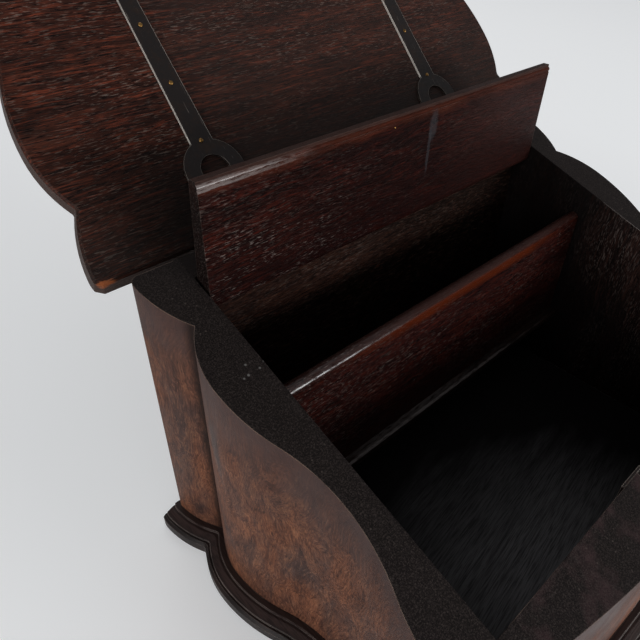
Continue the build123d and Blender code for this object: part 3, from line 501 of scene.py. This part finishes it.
# Till floor: a thin board let into the side boards, whose rounded nosing stands out below the
# till front. Dark, with a grey rub and painted light along the nosing.
till_base, tree, shader = bare_finish("stained_oak_till_floor", 0.5, 0.08)
colour, height, cloud = open_grain(tree, ALONG_X, "#0e0807", "#1c110e", "#2c1913", seed=5.0, flecks=0.2)
place = in_millimetres(tree)
across = add(tree, "ShaderNodeSeparateXYZ", {0: place}, out=ALONG_X)
patch = grain(tree, place, along(ALONG_X, 40, 6), 2.8, 3)
breaks = grain(tree, place, along(ALONG_X, 6, 1.2), 7.1, 4, 0.7)
# a grey rub that is also painted light, on the nosing's upper front face, strongest at the left
chafed_and_lit = where(tree, (facing(tree, (0, -0.6, 0.8)), 0.70, 0.94), patch, (breaks, 0.3, 0.55),
               (across, 150.0, -60.0))
colour = coats(tree, colour, (chafed_and_lit, 0.05, 0.36, 0.75, "#5c5654"))
relieve(tree, shader, colour, cloud, height, 0.3)
dress(till_base, "till_floor")


# Till front: a board on edge in its own housings, with a full round along its top that hands
# have worn through the stain to orange wood, and to a shine at the left end.
TILL_TOP = 128.0                        # mm above the table
till_board, tree, shader = bare_finish("stained_oak_till_front", 0.4, 0.03)
colour, height, cloud = open_grain(
    tree, ALONG_X, "#190a0a", "#33130f", "#4d2015",
    dust_and_glint="#6b625c", flecks=0.34, dust_and_glint_level=0.58, seed=8.0, sway=6.0)
place = in_millimetres(tree)
across, level_mm = (add(tree, "ShaderNodeSeparateXYZ", {0: place}, out=axis) for axis in (ALONG_X, ALONG_Z))
patch = grain(tree, place, along(ALONG_X, 34, 8), 4.1, 4, 0.6)
breaks = grain(tree, place, along(ALONG_X, 7, 1.2), 17.3, 4, 0.7)
pits = grain(tree, place, (2.6, 0.55, 0.55), 27.0, 2)
chips = grain(tree, place, (2.6, 0.5, 0.5), 29.0, 2)
top_band = where(tree, (level_mm, TILL_TOP - 10.0, TILL_TOP - 3.0))
handled = where(tree, top_band, (level_mm, TILL_TOP - 1.2, TILL_TOP - 2.6), patch,
                (across, -105.0, -20.0), (across, 118.0, 40.0))
left_end = where(tree, (across, -40.0, -110.0))
colour = coats(
    tree, colour,
    (where(tree, top_band, patch), 0.22, 0.60, 0.50, "#280f08"),
    (handled, 0.06, 0.30, 0.75, "#4d1d0a"),
    (where(tree, (level_mm, TILL_TOP - 3.6, TILL_TOP - 1.2), patch), 0.20, 0.50, 0.7, "#332320"),
    (where(tree, left_end, (pits, 0.44, 0.34)), 0.0, 0.8, 0.7, "#080404"),
    (where(tree, left_end, (chips, 0.60, 0.70)), 0.0, 0.8, 0.4, "#7c716b"),
    # painted shade: darker towards the foot of the board
    (level_mm, 80.0, 58.0, 0.5, "#0d0807"))
polished = where(
    tree, (level_mm, TILL_TOP - 5.5, TILL_TOP - 3.8), (across, -25.0, -105.0), (breaks, 0.36, 0.56))
tree.links.new(polished, shader.inputs["Coat Weight"])
shader.inputs["Coat Roughness"].default_value = 0.2
gloss = add(tree, "ShaderNodeMapRange", {0: top_band, 3: 0.46, 4: 0.30})
relieve(tree, shader, colour, gloss, height, 0.35)
dress(till_board, "till_front")


# Till lid: a tapered board that turns on pins of its own wood. A bead runs along its free edge,
# polished by fingers at the left, where a pale painted highlight lies on it. Dust and painted
# glints lie in its wavy open grain, most glints at the left. Painted shade darkens all but its
# left end, more towards its foot, a faint painted sheen lies over its right end, and it has one scuff.
TILL_LID_TIP = 210.28                   # mm above the table, as it stands open
SCUFF, SCUFF_REACH = (17.0, 80.6, 199.0), (4.6, 20.0, 11.0)
SCUFF_TAIL, TAIL_REACH = (15.4, 80.6, 186.0), (1.7, 20.0, 17.0)

till_lid_board, tree, shader = bare_finish("stained_oak_till_lid", 0.42, 0.03)
colour, height, cloud = open_grain(
    tree, ALONG_X, "#150706", "#2a0f0b", "#501b10",
    dust_and_glint="#6d5f58", flecks=0.22, dust_and_glint_level=0.58, seed=11.0, sway=9.0)
place = in_millimetres(tree)
across, level_mm = (add(tree, "ShaderNodeSeparateXYZ", {0: place}, out=axis) for axis in (ALONG_X, ALONG_Z))
patch = grain(tree, place, along(ALONG_X, 26, 5), 6.6, 4, 0.6)
ragged = grain(tree, place, (2.2, 2.2, 7.0), 3.3, 3, 0.6)
scuff, scuff_tail = (
    add(tree, "ShaderNodeMath", {0: spot(tree, place, centre, reach), 1: ragged}, operation="ADD")
    for centre, reach in ((SCUFF, SCUFF_REACH), (SCUFF_TAIL, TAIL_REACH)))
# painted reflection: pale glints in streaks of the grain, at the left of the lid
glint_streak = grain(tree, place, (3.8, 0.5, 0.5), 21.0, 2)
glint_patch = grain(tree, place, (34, 5, 5), 22.5, 3)
painted_glints = where(tree, (glint_streak, 0.58, 0.70), (glint_patch, 0.42, 0.62), (across, 0.0, -112.0),
               (level_mm, TILL_LID_TIP + 20.0, 172.0))
end_face = add(tree, "ShaderNodeMath", {0: facing(tree, (1, 0, 0))}, operation="ABSOLUTE")
end_face = where(tree, (end_face, 0.7, 0.8))
end_pores = grain(tree, place, (0.7, 0.7, 0.7), 31.0, 2)
colour = coats(
    tree, colour,
    # painted shade: darker but for the left end and towards the foot; a faint painted sheen at the right
    (across, -95.0, -30.0, 0.34, "#0f0404"),
    (across, 20.0, 70.0, 0.10, "#5a3a34"),
    (level_mm, 186.0, 168.0, 0.45, "#120505"),
    (painted_glints, 0.0, 0.6, 0.36, "#8f847e"),
    (where(tree, (level_mm, TILL_LID_TIP - 12, TILL_LID_TIP - 4.5), patch), 0.26, 0.60, 0.4, "#56291a"),
    (level_mm, TILL_LID_TIP - 1.5, TILL_LID_TIP - 1.2, 0.75, "#352723"),
    (scuff, 1.40, 1.00, 0.42, "#36373a"),
    (scuff_tail, 1.35, 1.00, 0.4, "#36373a"),
    (end_face, 0.0, 1.0, 0.85, "#0e0a09"),
    (where(tree, end_face, end_pores), 0.60, 0.70, 0.45, "#6b605b"),
    (where(tree, arrises(tree, 0.8), patch), 0.34, 0.62, 0.45, "#75665f"))
polish_breaks = grain(tree, place, (6, 1.1, 1.1), 14.2, 4, 0.7)
# painted highlight: a pale broken streak along the bead at the left, where the coat shines too
polish_and_painted_highlight = where(
    tree, (level_mm, TILL_LID_TIP - 5.0, TILL_LID_TIP - 4.2),
    (level_mm, TILL_LID_TIP - 1.1, TILL_LID_TIP - 1.6),
    (end_face, 1.0, 0.5), (across, -55.0, -112.0), (polish_breaks, 0.34, 0.54))
colour = coats(tree, colour, (polish_and_painted_highlight, 0.15, 0.75, 0.4, "#958b87"))
tree.links.new(polish_and_painted_highlight, shader.inputs["Coat Weight"])
shader.inputs["Coat Roughness"].default_value = 0.3
gloss = add(tree, "ShaderNodeMapRange", {0: cloud, 1: 0.35, 2: 0.65, 3: 0.36, 4: 0.52})
relieve(tree, shader, colour, gloss, height, 0.5, 0.5)
dress(till_lid_board, "till_lid")


# Pull pin: a small brass pin near the middle of the till lid's free edge, all that is left of
# its pull. Cast brass, gone brown, and bright only where it is touched.
def nail_seats(node, axis, head_height):
    """Where each nail of a node comes through the surface, from the node's own mesh."""
    weld, crown_depth = 1e-6, 1e-5
    mesh = bmesh.new()
    mesh.from_mesh(nodes[node].data)
    bmesh.ops.remove_doubles(mesh, verts=mesh.verts, dist=weld)
    unseen, seats = set(mesh.verts), []
    while unseen:
        nail, edge_of = [], [unseen.pop()]
        while edge_of:
            vertex = edge_of.pop()
            nail.append(vertex.co.copy())
            linked = {e.other_vert(vertex) for e in vertex.link_edges} & unseen
            unseen -= linked
            edge_of += list(linked)
        top = max(point.dot(axis) for point in nail)
        crown = [point for point in nail if point.dot(axis) > top - crown_depth]
        middle = sum(crown, Vector()) / len(crown)
        seats.append(middle - axis * head_height)
    mesh.free()
    return sorted(seats, key=lambda seat: tuple(round(c, 6) for c in seat))


def bridge(shape, low, high):
    """Joins two rings of corners with a band of faces."""
    for step in range(len(low)):
        after = (step + 1) % len(low)
        shape.faces.new((low[step], low[after], high[after], high[step]))


def domed_head(shape, base, radius, height, sides, number):
    """A round head, hammered a little out of true and rising to a crown."""
    dome = [(1.0, 0.0), (0.97, 0.26), (0.86, 0.55), (0.66, 0.80), (0.36, 0.95)]
    deepest_dent = 0.035
    rings = []
    for share, rise in dome:
        ring = []
        for step in range(sides):
            angle = 2 * math.pi * step / sides
            wave = 0.5 + 0.5 * math.sin(3 * angle + 2.1 * number + 4 * rise)
            reach = radius * share * (1 - deepest_dent * wave if rise else 1.0)
            ring.append(shape.verts.new(base @ Vector((
                reach * math.cos(angle), reach * math.sin(angle), height * rise))))
        rings.append(ring)
    crown = shape.verts.new(base @ Vector((0, 0, height)))
    for low, high in zip(rings, rings[1:]):
        bridge(shape, low, high)
    for step in range(sides):
        shape.faces.new((rings[-1][step], rings[-1][(step + 1) % sides], crown))
    shape.faces.new(list(reversed(rings[0])))


def square_shank(shape, base, width, length):
    """A square shank drawn down to a point."""
    point_begins, point_share = 0.74, 0.3
    half = width / 2
    corners = [(-half, -half), (half, -half), (half, half), (-half, half)]
    collar = [shape.verts.new(base @ Vector((x, y, 0))) for x, y in corners]
    waist = [shape.verts.new(base @ Vector((x, y, -point_begins * length))) for x, y in corners]
    tip = [shape.verts.new(base @ Vector((x * point_share, y * point_share, -length))) for x, y in corners]
    bridge(shape, waist, collar)
    bridge(shape, tip, waist)
    shape.faces.new(collar)
    shape.faces.new(list(reversed(tip)))


def driven_nails(name, node, body, axis, finish, head, shank, length, stands=0.0009, sides=14):
    """Domed nails in the place of a node's own. head is the head's radius and height in metres,
    and stands is how far the node's own heads stand out."""
    axis = Vector(axis).normalized()
    turned = Vector((0, 0, 1)).rotation_difference(axis).to_matrix().to_4x4()
    shape = bmesh.new()
    for number, seat in enumerate(nail_seats(node, axis, stands)):
        square = Matrix.Translation(seat) @ turned
        domed_head(shape, square @ Matrix.Rotation(0.7 * number, 4, "Z"), *head, sides, number)
        square_shank(shape, square, shank, length)
    mesh = bpy.data.meshes.new(name)
    shape.to_mesh(mesh)
    shape.free()
    mesh.polygons.foreach_set("use_smooth", [len(p.vertices) < 5 for p in mesh.polygons])
    piece = bpy.data.objects.new(name, mesh)
    mesh.materials.append(finish)
    bpy.context.scene.collection.objects.link(piece)
    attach(piece, body)
    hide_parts(node)


def cast_brass(name, bright, dull):
    """Brass that has gone brown in soft patches, so that only small spots of it shine yellow."""
    finish, tree, shader = bare_finish(name, 0.35, 0.5, 1.0)
    mottle = grain(tree, in_millimetres(tree), (1.4, 1.4, 1.4), 4.0, 3, 0.6)
    colour = coats(tree, srgb(bright), (mottle, 0.46, 0.66, 0.8, dull))
    gloss = add(tree, "ShaderNodeMapRange", {0: mottle, 3: 0.25, 4: 0.5})
    relieve(tree, shader, colour, gloss, mottle, 0.25, 0.1, 0.2)
    return finish


brass = cast_brass("browned_brass", "#94703f", "#120d0a")
PIN_HEAD = (0.0006, 0.0004)             # metres: radius and height
driven_nails("pull_pin", "till_lid_pin", "till_lid", (0, -1, 0), brass,
             PIN_HEAD, 0.0006, 0.004, stands=0.0004, sides=12)


# Hinge leaves: forged iron plates nailed to the back, each rolled into two knuckles at its top.
# Dark scale, with bright metal where the edges were filed.
hinge_iron = wrought("hinge_leaf_iron", "#231f1d", "#3a261c", "#7d736b", 0.45)
dress(hinge_iron, "hinge_leaf_left", "hinge_leaf_right")


# Leaf nails: black iron nails with round hammered heads, four to a leaf, driven straight into the
# back board.
IRON_HEAD, IRON_SHANK, NAIL_LENGTH = (0.0018, 0.0009), 0.0011, 0.0055       # metres
driven_nails("leaf_nail_heads", "leaf_nails", "box", (0, 1, 0), black_iron,
             IRON_HEAD, IRON_SHANK, NAIL_LENGTH)


# Hinge pins: drawn steel rod, a tight fit in the leaf's knuckles and loose in the strap's. Dull
# grey, and brighter along the ends.
pin_steel = wrought("drawn_steel", "#4a4642", "#3b2c22", "#a09890", 0.35)
dress(pin_steel, "hinge_pin_left", "hinge_pin_right")


# Lid board: one wide board of stained open-grained wood, cut to the plan of the box and grown
# all round. Its edge is rubbed to a grey-pink, and its back left corner is worn to bare wood.
LEAN = math.sqrt(0.5)                   # the open lid leans back at 45 degrees
LID_HINGE = (105.2, 165.23)             # mm: its distance back and its height
WORN_CORNER, WORN_REACH = (-160.8, 107.5, 163.5), (11.5, 4.2, 4.2)
up_the_lid, lid_inside = (0, LEAN, LEAN), (0, -LEAN, LEAN)      # its slope, and square to its inner face
hinge_line = sum(LID_HINGE) * LEAN      # mm, where the hinge lies on that slope

lid_wood, tree, shader = bare_finish("stained_oak_lid", 0.45, 0.06)
colour, height, cloud = open_grain(
    tree, ALONG_X, "#24130f", "#47271d", "#803c28",
    dust_and_glint="#85756b", flecks=0.42, dust_and_glint_level=0.58, seed=15.0)
place = in_millimetres(tree)
across = add(tree, "ShaderNodeSeparateXYZ", {0: place}, out=ALONG_X)
up_lid = add(tree, "ShaderNodeVectorMath", {0: place, 1: up_the_lid}, out=1, operation="DOT_PRODUCT")
edge_on = add(tree, "ShaderNodeMath", {0: facing(tree, lid_inside)}, operation="ABSOLUTE")
patch = grain(tree, place, along(ALONG_X, 18, 4), 2.6, 4, 0.6)
chipped = grain(tree, place, (5, 2.0, 2.0), 8.8, 4, 0.7)
from_corner = spot(tree, place, WORN_CORNER, WORN_REACH)
from_corner = add(tree, "ShaderNodeMath", {0: from_corner, 1: chipped}, operation="ADD")
# painted shadow of the till lid: darker towards the hinge, most of all right of the left end
till_lid_shadow = where(tree, (up_lid, hinge_line + 70.0, hinge_line + 25.0), (across, -150.0, -110.0))
colour = coats(
    tree, colour,
    # painted shadow of the till lid towards the hinge, and painted shade, duller right of the left lobe
    (up_lid, hinge_line + 60.0, hinge_line + 15.0, 0.5, "#16110f"),
    (up_lid, hinge_line + 46.0, hinge_line + 12.0, 0.35, "#171413"),
    (till_lid_shadow, 0.0, 1.0, 0.8, "#0b0807"),
    (across, -95.0, -60.0, 0.35, "#332a27"),
    (edge_on, 0.75, 0.4, 0.85, "#3c2f2a"),
    (where(tree, arrises(tree, 1.3), patch), 0.26, 0.60, 0.5, "#7a6a62"),
    (from_corner, 1.36, 1.12, 0.8, "#7e4526"))
gloss = add(tree, "ShaderNodeMapRange", {0: cloud, 1: 0.35, 2: 0.65, 3: 0.40, 4: 0.58})
relieve(tree, shader, colour, gloss, height, 0.4)
dress(lid_wood, "lid_board")


# Straps: flat forged iron, punched with a ring near the hinge and drawn out to a rounded tail.
# Black scale on the face, and edges beyond the ring that are filed and shine, with a painted
# highlight on their sides, brighter on the left.
strap_iron = wrought("strap_iron", "#262120", "#30241e", "#b3a89d", 0.46, 0.5)
tree = strap_iron.node_tree
shader = tree.nodes["Principled BSDF"]
up_lid = add(tree, "ShaderNodeVectorMath", {0: in_millimetres(tree), 1: up_the_lid},
             out=1, operation="DOT_PRODUCT")
beyond_ring = where(tree, (up_lid, hinge_line + 45.0, hinge_line + 50.0))
# painted highlight on the sides beyond the ring, brighter on the left side than the right
highlit_left_side, highlit_right_side = (where(tree, facing(tree, (side, 0, 0)), beyond_ring) for side in (-1, 1))
colour = coats(
    tree, shader.inputs["Base Color"].links[0].from_socket,
    (highlit_left_side, 0.6, 0.8, 0.9, "#efe8df"),
    (highlit_right_side, 0.6, 0.8, 0.6, "#b9aea3"),
    (where(tree, arrises(tree, 0.7), beyond_ring), 0.2, 1.0, 0.7, "#d6cdc2"))
tree.links.new(colour, shader.inputs["Base Color"])
dress(strap_iron, "strap_left", "strap_right")


# Strap nails: domed brass nails, one at the neck of the strap, two up its middle, two at its end.
# The same browned brass as the pull pin.
BRASS_HEAD = (0.0012, 0.0006)           # metres
driven_nails("strap_nail_heads", "strap_nails", "lid", lid_inside, brass,
             BRASS_HEAD, 0.0009, NAIL_LENGTH)


# Lock: a case of folded sheet iron let into the front board, closed by the plate that is nailed
# over it, with a filed steel bolt inside that the key throws sideways.
lock_iron = wrought("lock_sheet_iron", "#2a2422", "#3a2018", "#b3a79c", 0.42, 0.95)
dress(lock_iron, "lock_case", "lock_plate")
dress(pin_steel, "lock_bolt")


# Lock nails: four iron nails with hammered heads, at the corners of the plate. The same black
# nails as those of the hinge leaves.
driven_nails("lock_nail_heads", "lock_nails", "box", (0, 1, 0), black_iron,
             IRON_HEAD, IRON_SHANK, NAIL_LENGTH)


# Staple: an iron eye on a plate let into the lid and held by two nails. It drops through the lock
# case, where the bolt passes through it.
dress(lock_iron, "staple")
driven_nails("staple_nail_heads", "staple_nails", "lid", lid_inside, black_iron,
             IRON_HEAD, IRON_SHANK, NAIL_LENGTH)
